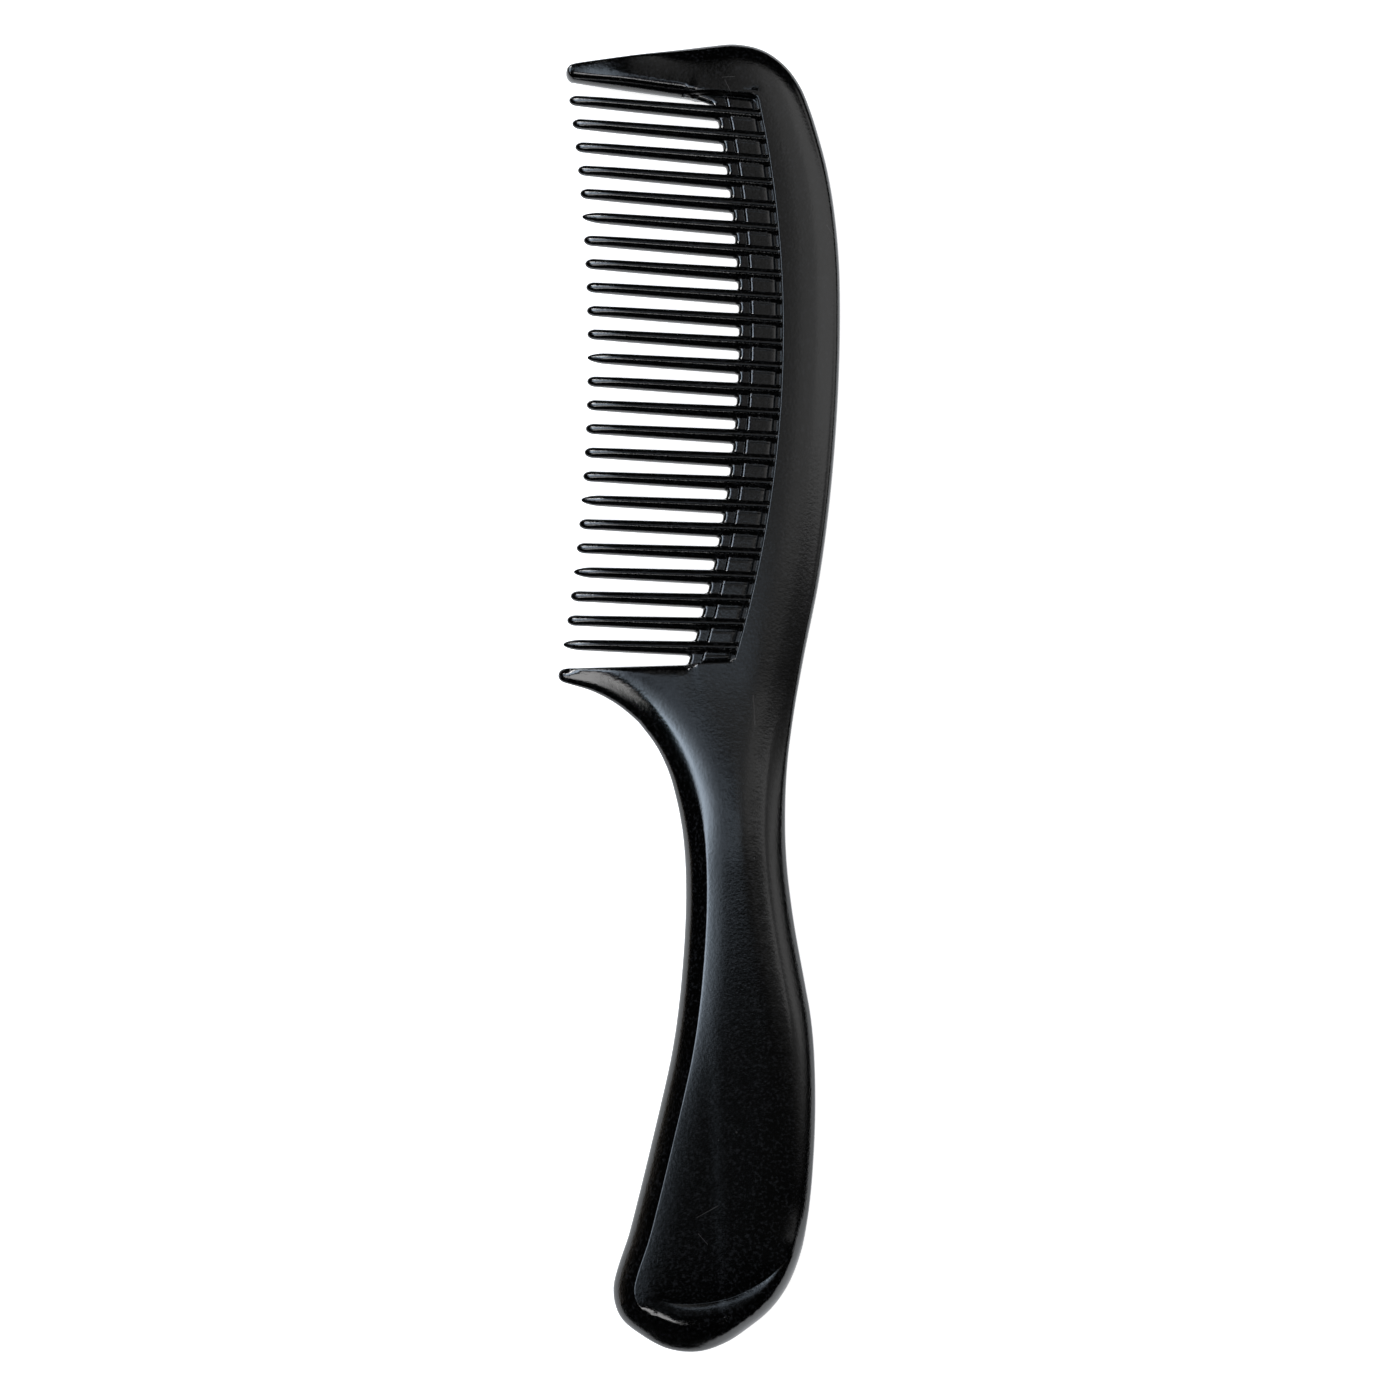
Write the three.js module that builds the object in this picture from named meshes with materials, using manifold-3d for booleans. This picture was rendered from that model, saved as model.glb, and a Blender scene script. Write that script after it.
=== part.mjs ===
// Wide tooth comb with a moulded handle, lying flat.
// Millimetres. +Z is up, out of the upper face. +Y runs from the handle's butt to the head,
// and +X from the tooth tips to the spine. The comb is the same above and below its parting plane.
// The real comb is one moulding. Here it is split at the roots of its teeth and at its neck.

import * as THREE from 'three';
import { mergeVertices } from 'three/addons/utils/BufferGeometryUtils.js';
import Module from 'manifold-3d';

const wasm = await Module();
wasm.setup();

// Thicknesses
const HANDLE_THICKNESS = 8;
const BACK_THICKNESS = 5.6;
const WEB_THICKNESS = 2;
const PAD_THICKNESS = 2.8;
const PARTING_Z = HANDLE_THICKNESS / 2;

// Rounded edges: how far the rounding reaches in from the outline, and down from the face
const HANDLE_EDGE = { width: 3.6, height: 3, steps: 4 };
const BACK_EDGE = { width: 1.1, height: 1.6, steps: 3 };

// Where the solids are split, and the gap left between them
const SPLIT_GAP = 0.3;
const NECK_Y = -30;
const UPPER_GUARD_ROOT_X = -4;
const LOWER_GUARD_ROOT_X = -6;

// The handle's faces slope down to the back's faces between these places
const RAMP_START_Y = -30;
const RAMP_END_Y = -14;
const HANDLE_STOCK_END_Y = -13;

// Tooth row. The teeth fan out a little, and their pitch is taken at the middle of their length
const TOOTH_COUNT = 24;
const TOOTH_PITCH = 4.03;
const TOOTH_ROW_Y = 49.6;
const TOOTH_MIDDLE_X = -8.5;
const TOOTH_FAN = THREE.MathUtils.degToRad(1.8);
const TOOTH_ROOT_WIDTH = 2.4;
const TOOTH_TIP_WIDTH = 1.8;
const TOOTH_DEPTH_RATIO = 1.55;
const TOOTH_SIDES = 10;

// The tooth tips and the ends of the gaps lie on two arcs
const TIP_ARC = { x: -328.9, y: 30.4, radius: 310.8 };
const ROOT_ARC = { x: -191.5, y: 45.6, radius: 197.8 };
const ROOT_LOW_Y = 1.8;
const ROOT_HIGH_Y = 96.9;

// Recessed band over the tooth roots, measured outwards from the ends of the gaps
const BAND_WIDTH = 7.3;
const BAND_LOW_Y = 1;
const BAND_HIGH_Y = 98.6;
const BAND_OVERLAP = 0.2;
const PAD_START = 2;
const PAD_LENGTH = 4.4;
const PAD_WIDTH = 2.3;

// Longer than the comb, for solids that cut right across it
const REACH = 150;

// Round noses of the two guard teeth
const UPPER_NOSE = { x: -24.5, y: 101.2, radius: 1.5 };
const LOWER_NOSE = { x: -18.6, y: -2.2, radius: 1.15 };

// Outer edge, clockwise: over the head, down the spine, round the butt, up the belly to the throat
const OUTER_EDGE = [
  [-15.8, 104.5], [-8, 106.2], [-2, 107.5], [2.9, 108.1], [8.1, 106.9], [11.4, 104.3],
  [13.9, 100.9], [17.2, 92.7], [19.6, 84.5], [21.6, 73.2], [22.6, 61], [23, 45], [22.6, 29],
  [21.6, 16], [20.2, 5.8], [18.8, -6], [18.2, -16], [18.8, -28.3], [20.5, -38.7], [22.7, -48],
  [24.6, -56.4], [25.7, -66.6], [26, -77.5], [25.5, -87.5], [24.2, -93.9], [21.5, -98.9],
  [16.8, -104.1], [13, -107], [9, -108.2], [4.4, -107.8], [-0.5, -105.3], [-3.5, -102.5],
  [-4.1, -99.3], [-2.8, -93.4], [-0.9, -83.4], [0.8, -73.5], [2.7, -61.2], [3.4, -48.9],
  [3.1, -35.1], [1.6, -24.7], [-1.9, -14.8], [-7.6, -7.9], [-14, -4.5],
];
const OUTER_EDGE_STEPS = 80;

// A closed mesh as a solid that can be cut and joined
function solidOf(geometry) {
  const bare = geometry.clone();
  bare.deleteAttribute('normal');
  bare.deleteAttribute('uv');
  const merged = mergeVertices(bare, 1e-4);
  const mesh = new wasm.Mesh({
    numProp: 3,
    vertProperties: new Float32Array(merged.attributes.position.array),
    triVerts: new Uint32Array(merged.index.array),
  });
  return new wasm.Manifold(mesh);
}

function geometryOf(solid) {
  const mesh = solid.getMesh();
  const geometry = new THREE.BufferGeometry();
  geometry.setAttribute('position', new THREE.BufferAttribute(mesh.vertProperties, 3));
  geometry.setIndex(new THREE.BufferAttribute(mesh.triVerts, 1));
  geometry.computeVertexNormals();
  return geometry;
}

// A box given by its lowest and highest corners
function boxSolid(low, high) {
  const size = high.map((value, axis) => value - low[axis]);
  const geometry = new THREE.BoxGeometry(...size);
  geometry.translate(...low.map((value, axis) => value + size[axis] / 2));
  return solidOf(geometry);
}

function arcX(arc, y) {
  return arc.x + Math.sqrt(arc.radius ** 2 - (y - arc.y) ** 2);
}

function arcAngle(arc, y) {
  return Math.asin((y - arc.y) / arc.radius);
}

function arcPoints(arc, start, end, steps) {
  const clockwise = end < start;
  const curve = new THREE.EllipseCurve(arc.x, arc.y, arc.radius, arc.radius, start, end, clockwise);
  return curve.getPoints(steps);
}

function outerEdge() {
  const points = OUTER_EDGE.map(([x, y]) => new THREE.Vector3(x, y, 0));
  const curve = new THREE.CatmullRomCurve3(points, false, 'centripetal');
  return curve.getSpacedPoints(OUTER_EDGE_STEPS).map((point) => new THREE.Vector2(point.x, point.y));
}

// The comb without its row of teeth, seen from above
function bodyOutline() {
  const lowAngle = arcAngle(ROOT_ARC, ROOT_LOW_Y);
  const highAngle = arcAngle(ROOT_ARC, ROOT_HIGH_Y);
  return new THREE.Shape([
    ...arcPoints(ROOT_ARC, lowAngle, highAngle, 20),
    new THREE.Vector2(-2.2, 97.5),
    new THREE.Vector2(-4.4, 98.1),
    ...arcPoints(UPPER_NOSE, Math.PI * 1.5, Math.PI * 0.58, 6),
    ...outerEdge(),
    ...arcPoints(LOWER_NOSE, Math.PI * 1.4, Math.PI * 0.55, 6),
    new THREE.Vector2(-1.9, 0.2),
    new THREE.Vector2(0.1, 0.7),
  ]);
}

// The handle's own stretch of the outline
function handleOutline() {
  return new THREE.Shape(outerEdge().filter((point) => point.y < HANDLE_STOCK_END_Y));
}

// An outline given a thickness about the parting plane, with rounded edges
function plate(outline, thickness, edge) {
  const depth = thickness - 2 * edge.height;
  const geometry = new THREE.ExtrudeGeometry(outline, {
    depth,
    bevelSize: edge.width,
    bevelOffset: -edge.width,
    bevelThickness: edge.height,
    bevelSegments: edge.steps,
  });
  geometry.translate(0, 0, PARTING_Z - depth / 2);
  return solidOf(geometry);
}

// The comb's side view over the handle and its ramp, carried right across the comb
function handleSideView() {
  const half = HANDLE_THICKNESS / 2;
  const backHalf = BACK_THICKNESS / 2;
  const middle = (RAMP_START_Y + RAMP_END_Y) / 2;
  const ramp = new THREE.CubicBezierCurve(
    new THREE.Vector2(RAMP_START_Y, half),
    new THREE.Vector2(middle, half),
    new THREE.Vector2(middle, backHalf),
    new THREE.Vector2(RAMP_END_Y, backHalf - 0.05),
  );
  const upper = [
    new THREE.Vector2(-REACH, half + 1),
    new THREE.Vector2(RAMP_START_Y, half + 1),
    ...ramp.getPoints(8),
    new THREE.Vector2(0, backHalf - 0.5),
  ];
  const lower = upper.map((point) => new THREE.Vector2(point.x, -point.y)).reverse();
  const shape = new THREE.Shape([...upper, ...lower]);
  const geometry = new THREE.ExtrudeGeometry(shape, { depth: 2 * REACH, bevelEnabled: false });
  const acrossComb = new THREE.Matrix4().makeBasis(
    new THREE.Vector3(0, 1, 0),
    new THREE.Vector3(0, 0, 1),
    new THREE.Vector3(1, 0, 0),
  );
  geometry.applyMatrix4(acrossComb);
  geometry.translate(-REACH, 0, PARTING_Z);
  return solidOf(geometry);
}

// The band over the tooth roots as a solid between two heights
function bandSector(low, high) {
  const inner = { ...ROOT_ARC, radius: ROOT_ARC.radius - BAND_OVERLAP };
  const outer = { ...ROOT_ARC, radius: ROOT_ARC.radius + BAND_WIDTH };
  const steps = 32;
  const shape = new THREE.Shape([
    ...arcPoints(outer, arcAngle(outer, BAND_LOW_Y), arcAngle(outer, BAND_HIGH_Y), steps),
    ...arcPoints(inner, arcAngle(inner, BAND_HIGH_Y), arcAngle(inner, BAND_LOW_Y), steps),
  ]);
  const geometry = new THREE.ExtrudeGeometry(shape, { depth: high - low, bevelEnabled: false });
  geometry.translate(0, 0, low);
  return solidOf(geometry);
}

// Two cutters that sink the band to its web, one from each face
function bandRecess() {
  const web = WEB_THICKNESS / 2;
  const above = bandSector(PARTING_Z + web, PARTING_Z + HANDLE_THICKNESS);
  const below = bandSector(PARTING_Z - HANDLE_THICKNESS, PARTING_Z - web);
  return above.add(below);
}

// Each tooth's axis: where it crosses the root arc, its direction, and its length to the tip arc
function toothAxis(index) {
  const halfCount = (TOOTH_COUNT - 1) / 2;
  const place = index - halfCount;
  const angle = -TOOTH_FAN * place / halfCount;
  const middleY = TOOTH_ROW_Y - place * TOOTH_PITCH;
  const rootX = arcX(ROOT_ARC, middleY);
  const tipX = arcX(TIP_ARC, middleY);
  const rootY = middleY - (rootX - TOOTH_MIDDLE_X) * Math.tan(angle);
  return { angle, rootX, rootY, length: (rootX - tipX) / Math.cos(angle) };
}

// A round bar along -X from the origin, turned from half widths and deepened to an oval
function ovalBar(profile) {
  const points = profile.map(([along, half]) => new THREE.Vector2(half, along));
  const geometry = new THREE.LatheGeometry(points, TOOTH_SIDES);
  geometry.rotateZ(Math.PI / 2);
  geometry.scale(1, 1, TOOTH_DEPTH_RATIO);
  return geometry;
}

function toothGeometry(length) {
  const root = TOOTH_ROOT_WIDTH / 2;
  const tip = TOOTH_TIP_WIDTH / 2;
  return ovalBar([
    [SPLIT_GAP, 0],
    [SPLIT_GAP, root],
    [length * 0.5, (root + tip) / 2],
    [length - 5, tip],
    [length - 1.2, tip * 0.78],
    [length - 0.3, tip * 0.45],
    [length, 0],
  ]);
}

function ribSolid(axis) {
  const root = TOOTH_ROOT_WIDTH / 2;
  const geometry = ovalBar([
    [-BAND_WIDTH - 1, 0],
    [-BAND_WIDTH - 1, root],
    [0, root],
    [0, 0],
  ]);
  geometry.rotateZ(-axis.angle);
  geometry.translate(axis.rootX, axis.rootY, PARTING_Z);
  return solidOf(geometry);
}

// A raised pad on the web, midway between two ribs and parallel to them
function padSolid(upperAxis, lowerAxis) {
  const middleX = (upperAxis.rootX + lowerAxis.rootX) / 2;
  const middleY = (upperAxis.rootY + lowerAxis.rootY) / 2;
  const geometry = new THREE.BoxGeometry(PAD_LENGTH, PAD_WIDTH, PAD_THICKNESS);
  geometry.translate(PAD_START + PAD_LENGTH / 2, 0, 0);
  geometry.rotateZ(-(upperAxis.angle + lowerAxis.angle) / 2);
  geometry.translate(middleX, middleY, PARTING_Z);
  return solidOf(geometry);
}

const axes = Array.from({ length: TOOTH_COUNT }, (_, index) => toothAxis(index));

// The pads between the teeth, and one more beyond each end of the row
const padNeighbours = Array.from({ length: TOOTH_COUNT + 1 }, (_, index) => index - 1);

function bodySolid() {
  const handle = plate(handleOutline(), HANDLE_THICKNESS, HANDLE_EDGE).intersect(handleSideView());
  let body = plate(bodyOutline(), BACK_THICKNESS, BACK_EDGE).add(handle);
  body = body.subtract(bandRecess());
  const ribs = axes.map(ribSolid);
  const pads = padNeighbours.map((index) => padSolid(toothAxis(index), toothAxis(index + 1)));
  [...ribs, ...pads].forEach((piece) => {
    body = body.add(piece);
  });
  return body;
}

const plastic = { color: 0x1b1b1c, roughness: 0.42, metalness: 0 };

function named(name, geometry) {
  const mesh = new THREE.Mesh(geometry, new THREE.MeshStandardMaterial(plastic));
  mesh.name = name;
  return mesh;
}

const comb = new THREE.Group();
const body = bodySolid();

const split = SPLIT_GAP / 2;
const belowNeck = boxSolid([-REACH, -REACH, -REACH], [REACH, NECK_Y - split, REACH]);
const aboveNeck = boxSolid([-REACH, NECK_Y + split, -REACH], [REACH, REACH, REACH]);

function guardBox(rootX, low, high) {
  return boxSolid([-REACH, low, -REACH], [rootX, high, REACH]);
}

const upperGuard = body.intersect(guardBox(UPPER_GUARD_ROOT_X - split, ROOT_HIGH_Y, REACH));
const lowerGuard = body.intersect(guardBox(LOWER_GUARD_ROOT_X - split, NECK_Y, ROOT_LOW_Y));
const back = body.intersect(aboveNeck)
  .subtract(guardBox(UPPER_GUARD_ROOT_X + split, ROOT_HIGH_Y, REACH))
  .subtract(guardBox(LOWER_GUARD_ROOT_X + split, NECK_Y, ROOT_LOW_Y));

comb.add(named('handle', geometryOf(body.intersect(belowNeck))));
comb.add(named('back', geometryOf(back)));
comb.add(named('upper_guard_tooth', geometryOf(upperGuard)));
comb.add(named('lower_guard_tooth', geometryOf(lowerGuard)));

axes.forEach((axis, index) => {
  const number = String(index + 1).padStart(2, '0');
  const tooth = named(`tooth_${number}`, toothGeometry(axis.length));
  tooth.position.set(axis.rootX, axis.rootY, PARTING_Z);
  tooth.rotation.z = -axis.angle;
  comb.add(tooth);
});

export default comb;
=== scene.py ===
import math

import bpy
import numpy as np
from mathutils import Matrix, Vector
from mathutils.geometry import delaunay_2d_cdt
from mathutils.kdtree import KDTree


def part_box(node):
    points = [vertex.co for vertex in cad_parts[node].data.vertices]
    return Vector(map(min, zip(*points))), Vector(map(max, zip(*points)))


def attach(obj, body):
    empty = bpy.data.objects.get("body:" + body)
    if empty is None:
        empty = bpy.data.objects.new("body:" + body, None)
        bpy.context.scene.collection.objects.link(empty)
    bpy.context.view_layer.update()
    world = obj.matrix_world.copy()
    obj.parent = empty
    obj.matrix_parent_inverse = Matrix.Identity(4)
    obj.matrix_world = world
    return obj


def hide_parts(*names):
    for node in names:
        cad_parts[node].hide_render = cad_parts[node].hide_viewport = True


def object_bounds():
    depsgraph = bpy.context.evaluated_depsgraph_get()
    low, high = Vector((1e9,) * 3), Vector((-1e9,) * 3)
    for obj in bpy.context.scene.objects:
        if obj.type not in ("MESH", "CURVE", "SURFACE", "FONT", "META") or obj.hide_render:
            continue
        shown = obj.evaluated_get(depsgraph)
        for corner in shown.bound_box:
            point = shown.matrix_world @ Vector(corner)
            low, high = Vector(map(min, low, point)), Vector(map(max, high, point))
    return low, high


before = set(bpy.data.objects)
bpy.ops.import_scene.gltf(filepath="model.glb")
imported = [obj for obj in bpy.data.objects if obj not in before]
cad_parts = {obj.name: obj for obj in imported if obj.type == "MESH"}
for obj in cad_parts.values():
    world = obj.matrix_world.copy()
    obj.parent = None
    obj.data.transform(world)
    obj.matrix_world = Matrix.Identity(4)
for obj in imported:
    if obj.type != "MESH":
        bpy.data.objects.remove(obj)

cad_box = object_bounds()

# The comb is worked out in millimetres about its parting plane and written in metres.
MM = 0.001
BODY_NODES = ("handle", "back", "upper_guard_tooth", "lower_guard_tooth")
TOOTH_NODES = sorted(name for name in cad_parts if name.startswith("tooth_"))


def box_mm(node):
    low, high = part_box(node)
    return np.array(low) / MM, np.array(high) / MM


PARTING_Z = box_mm("handle")[1][2] / 2
HANDLE_HALF = PARTING_Z
BACK_HALF = (box_mm("upper_guard_tooth")[1][2] - box_mm("upper_guard_tooth")[0][2]) / 2
NECK_Y = (box_mm("handle")[1][1] + box_mm("back")[0][1]) / 2


def add_object(name, data):
    thing = bpy.data.objects.new(name, data)
    bpy.context.scene.collection.objects.link(thing)
    return thing


# ---------------- camera

CAMERA_TARGET = (3.47, -4.84)
CAMERA_DISTANCE = 493
CAMERA_SLANT = math.radians(11)
CAMERA_ROLL = math.radians(3.65)
VIEW_WIDTH = 226.8
SENSOR_WIDTH = 36


def make_camera():
    """Looks down on the comb, slanted a little from the handle's end."""
    data = bpy.data.cameras.new("camera")
    data.sensor_width = SENSOR_WIDTH
    data.lens = SENSOR_WIDTH * CAMERA_DISTANCE / VIEW_WIDTH
    camera = add_object("camera", data)
    right = Vector((math.cos(CAMERA_ROLL), math.sin(CAMERA_ROLL), 0))
    along = Vector((-math.sin(CAMERA_ROLL), math.cos(CAMERA_ROLL), 0))
    away = Vector((0, 0, math.cos(CAMERA_SLANT))) - along * math.sin(CAMERA_SLANT)
    up = away.cross(right)
    target = Vector((CAMERA_TARGET[0], CAMERA_TARGET[1], PARTING_Z))
    turn = Matrix((right, up, away)).transposed().to_4x4()
    camera.matrix_world = Matrix.Translation((target + away * CAMERA_DISTANCE) * MM) @ turn
    bpy.context.scene.camera = camera


make_camera()

# ---------------- lines read from the frame

# The gap between neighbouring CAD pieces, and how close to a cut's plane a segment lies along it.
SPLIT_GAP = 0.3
CUT_CLOSE = 0.02
# The first gap starts this far above the first root, and the last ends this far below the last.
ABOVE_FIRST_ROOT, BELOW_LAST_ROOT = 1.4, 1.8
GAP_END_DEPTH = 0.6
STRAIGHT = 0.004


def triangles_mm(node):
    """The corners of a CAD node's triangles."""
    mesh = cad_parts[node].data
    mesh.calc_loop_triangles()
    points = np.array([v.co for v in mesh.vertices], float) / MM
    corners = np.array([t.vertices for t in mesh.loop_triangles], int)
    return points[corners]


def section(node, z):
    """The segments where a CAD node's surface crosses a height."""
    segments = []
    for triangle in triangles_mm(node):
        crossings = []
        for a, b in ((0, 1), (1, 2), (2, 0)):
            low, high = triangle[a], triangle[b]
            if (low[2] > z) != (high[2] > z):
                share = (z - low[2]) / (high[2] - low[2])
                crossings.append((low + (high - low) * share)[:2])
        if len(crossings) == 2 and np.linalg.norm(crossings[0] - crossings[1]) > 1e-4:
            segments.append(crossings)
    return np.array(segments)


def unit(vector):
    return vector / np.linalg.norm(vector)


class Tooth:
    """A tooth's axis: its root on the root arc, its direction to the tip, the way up the row."""

    def __init__(self, node):
        points = triangles_mm(node).reshape(-1, 3)
        cap = points[points[:, 0] > points[:, 0].max() - SPLIT_GAP]
        tip = points[points[:, 0].argmin()][:2]
        middle = ((cap.min(0) + cap.max(0)) / 2)[:2]
        self.out = unit(tip - middle)
        self.up = np.array([self.out[1], -self.out[0]])
        self.root = middle - self.out * SPLIT_GAP
        self.length = float(np.linalg.norm(tip - self.root))


def fit_circle(points):
    """The centre and radius of the circle that lies closest to points."""
    system = np.c_[2 * points, np.ones(len(points))]
    a, b, c = np.linalg.lstsq(system, (points ** 2).sum(1), rcond=None)[0]
    return np.array([a, b]), math.sqrt(c + a * a + b * b)


teeth = [Tooth(name) for name in TOOTH_NODES]
ARC_CENTRE, ARC_RADIUS = fit_circle(np.array([tooth.root for tooth in teeth]))


def beyond_arc(points):
    """How far points lie beyond the root arc, towards the spine."""
    return np.linalg.norm(points - ARC_CENTRE, axis=-1) - ARC_RADIUS


def on_line(origin, towards, beyond):
    """Where a line crosses the arc that lies a distance beyond the root arc."""
    offset = origin - ARC_CENTRE
    half = offset @ towards
    rest = offset @ offset - (ARC_RADIUS + beyond) ** 2
    return origin + towards * (-half + math.sqrt(half * half - rest))


def outer_chain():
    """The corners of the comb's outer edge in order, from the first gap round to the last gap."""
    cuts = [box_mm("handle")[1][1], box_mm("back")[0][1]]
    guards = [box_mm(name)[1][0] for name in ("upper_guard_tooth", "lower_guard_tooth")]
    segments = np.concatenate([section(name, PARTING_Z + 0.001) for name in BODY_NODES])
    middle = segments.mean(1)
    across = np.abs(segments[:, 0] - segments[:, 1])
    keep = np.ones(len(segments), bool)
    for y in cuts:
        keep &= ~((np.abs(middle[:, 1] - y) < CUT_CLOSE) & (across[:, 1] < CUT_CLOSE))
    for x in guards:
        for offset in (0, SPLIT_GAP):
            keep &= ~((np.abs(middle[:, 0] - x - offset) < CUT_CLOSE) & (across[:, 0] < CUT_CLOSE))
    top, bottom = teeth[0].root[1] + ABOVE_FIRST_ROOT, teeth[-1].root[1] - BELOW_LAST_ROOT
    row = (middle[:, 1] < top) & (middle[:, 1] > bottom) & (np.abs(beyond_arc(middle)) < GAP_END_DEPTH)
    free = list(segments[keep & ~row])
    here = teeth[0].root
    chain = []
    while free:
        gaps = np.linalg.norm(np.array(free) - here, axis=2)
        place, end = np.unravel_index(gaps.argmin(), gaps.shape)
        chosen = free.pop(place)
        chain += [chosen[end], chosen[1 - end]]
        here = chosen[1 - end]
    corners = [chain[0]]
    for before, point, after in zip(chain, chain[1:], chain[2:]):
        first, second = point - corners[-1], after - point
        lengths = np.linalg.norm(first) * np.linalg.norm(second)
        if lengths > 1e-6 and abs(np.cross(first, second)) > STRAIGHT * lengths:
            corners.append(point)
    corners.append(chain[-1])
    return np.array(corners)


corners = outer_chain()
# Which corners are the noses of the guard teeth
UPPER_NOSE, LOWER_NOSE = 3, -4
LOW_X, LOW_Y = [value / MM for value in cad_box[0][:2]]
HIGH_X, HIGH_Y = [value / MM for value in cad_box[1][:2]]

# ---------------- edge shapes

# How finely an edge shape is added up, and how far in from the outline.
PROFILE_STEP = 0.01
PROFILE_REACH = 12


def profile(*edge):
    """The share of full height gained by each distance in from an edge. The edge is given as
    distances in from the outline, in mm, each with how steep the face is there, in degrees."""
    distance = np.arange(0, PROFILE_REACH, PROFILE_STEP)
    places, tilts = np.array(edge, float).T
    slope = np.tan(np.radians(np.interp(distance, places, tilts)))
    height = np.concatenate([[0], np.cumsum((slope[1:] + slope[:-1]) / 2 * PROFILE_STEP)])
    height /= height[-1]
    return lambda d: np.interp(d, distance, height)


left_edge = profile(
    (0, 86), (0.15, 66), (0.7, 48), (1.1, 39), (3, 31), (3.5, 24), (4.2, 18), (4.8, 13.5),
    (5.4, 10), (6.2, 7), (7.2, 5), (8.5, 3.5), (10, 1.5), (12, 0),
)
left_middle_edge = profile(
    (0, 86), (0.15, 66), (0.7, 48), (1.1, 40), (3.2, 33), (3.6, 10.5), (4.3, 8.5), (5.3, 5.5),
    (6.6, 2.5), (8, 1), (10, 0),
)
left_low_edge = profile(
    (0, 86), (0.15, 66), (0.6, 50), (1, 42), (3.4, 36), (3.44, 5), (4.5, 3.8), (5.5, 2.6),
    (6.5, 1.5), (8, 0),
)
right_edge = profile((0, 86), (0.08, 66), (0.22, 48), (0.8, 38), (2.5, 30), (4, 16), (6, 5), (8, 0))
spine_edge = profile((0, 86), (0.2, 60), (0.6, 40), (1.2, 24), (3, 13), (5, 7), (8, 2), (10, 0))
butt_edge = profile(
    (0, 86), (0.08, 66), (0.26, 50), (0.55, 41), (3.4, 36), (3.8, 25), (4.5, 11), (5, 3), (5.8, 0),
)
bead_edge = profile((0, 86), (0.12, 70), (0.4, 55), (1.2, 40), (2, 24), (2.4, 8), (2.8, 0))
guard_edge = profile((0, 86), (0.25, 62), (0.7, 42), (1, 25), (1.6, 8), (2.2, 0))
crisp_edge = profile((0, 86), (0.3, 60), (0.6, 30), (0.9, 8), (1.4, 0))
wall_edge = profile((0, 85), (0.13, 82), (0.25, 72), (0.3, 30), (0.35, 0))
GAP_EDGE_WIDTH = 0.75
gap_edge = profile((0, 86), (0.15, 62), (0.4, 38), (GAP_EDGE_WIDTH, 0))
pad_edge = profile((0, 78), (0.06, 45), (0.25, 25), (0.5, 8), (0.6, 0))


def smooth_step(value, start, end):
    share = np.clip((value - start) / (end - start), 0, 1)
    return share * share * (3 - 2 * share)


def smooth_min(a, b, blend):
    overlap = np.maximum(blend - np.abs(a - b), 0) / blend
    return np.minimum(a, b) - overlap ** 2 * blend / 4


def smooth_max(a, b, blend):
    return -smooth_min(-a, -b, blend)


# ---------------- smooth lines

CURVE_STEP = 0.12
BEND_WINDOW = 0.5


def catmull_rom(points):
    """A dense smooth curve through points, with centripetal knots."""
    points = np.asarray(points, float)
    ends = [2 * points[0] - points[1], 2 * points[-1] - points[-2]]
    padded = np.vstack([ends[0], points, ends[1]])
    curve = [points[:1]]
    for p0, p1, p2, p3 in zip(padded, padded[1:], padded[2:], padded[3:]):
        k1 = np.linalg.norm(p1 - p0) ** 0.5
        k2 = k1 + np.linalg.norm(p2 - p1) ** 0.5
        k3 = k2 + np.linalg.norm(p3 - p2) ** 0.5
        count = max(2, int(np.linalg.norm(p2 - p1) / CURVE_STEP))
        t = np.linspace(k1, k2, count + 1)[1:, None]
        a1 = (k1 - t) / k1 * p0 + t / k1 * p1
        a2 = (k2 - t) / (k2 - k1) * p1 + (t - k1) / (k2 - k1) * p2
        a3 = (k3 - t) / (k3 - k2) * p2 + (t - k2) / (k3 - k2) * p3
        b1 = (k2 - t) / k2 * a1 + t / k2 * a2
        b2 = (k3 - t) / (k3 - k1) * a2 + (t - k1) / (k3 - k1) * a3
        curve.append((k2 - t) / (k2 - k1) * b1 + (t - k1) / (k2 - k1) * b2)
    return np.vstack(curve)


def arc_length(points):
    """How far along a line each of its points lies."""
    return np.concatenate([[0], np.cumsum(np.linalg.norm(np.diff(points, axis=0), axis=1))])


def resample(points, spacing):
    """Points along a line whose spacing follows a function of place along it."""
    along = arc_length(points)
    weight = np.concatenate([[0], np.cumsum(np.diff(along) / spacing[1:])])
    count = max(2, int(round(weight[-1])))
    targets = np.linspace(0, weight[-1], count + 1)
    places = np.interp(targets, weight, along)
    return np.c_[np.interp(places, along, points[:, 0]), np.interp(places, along, points[:, 1])]


def bend_radius(points):
    """The radius of a line's bend at each of its points."""
    along = arc_length(points)
    heading = np.unwrap(np.arctan2(*np.gradient(points, axis=0).T[::-1]))
    after = np.interp(along + BEND_WINDOW, along, heading)
    before = np.interp(along - BEND_WINDOW, along, heading)
    return 2 * BEND_WINDOW / np.maximum(np.abs(after - before), 1e-6)


def to_left(points):
    """The direction to the left of a line at each of its points."""
    run = np.gradient(points, axis=0)
    run /= np.linalg.norm(run, axis=1)[:, None]
    return np.c_[-run[:, 1], run[:, 0]]


# ---------------- the band over the tooth roots

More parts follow.
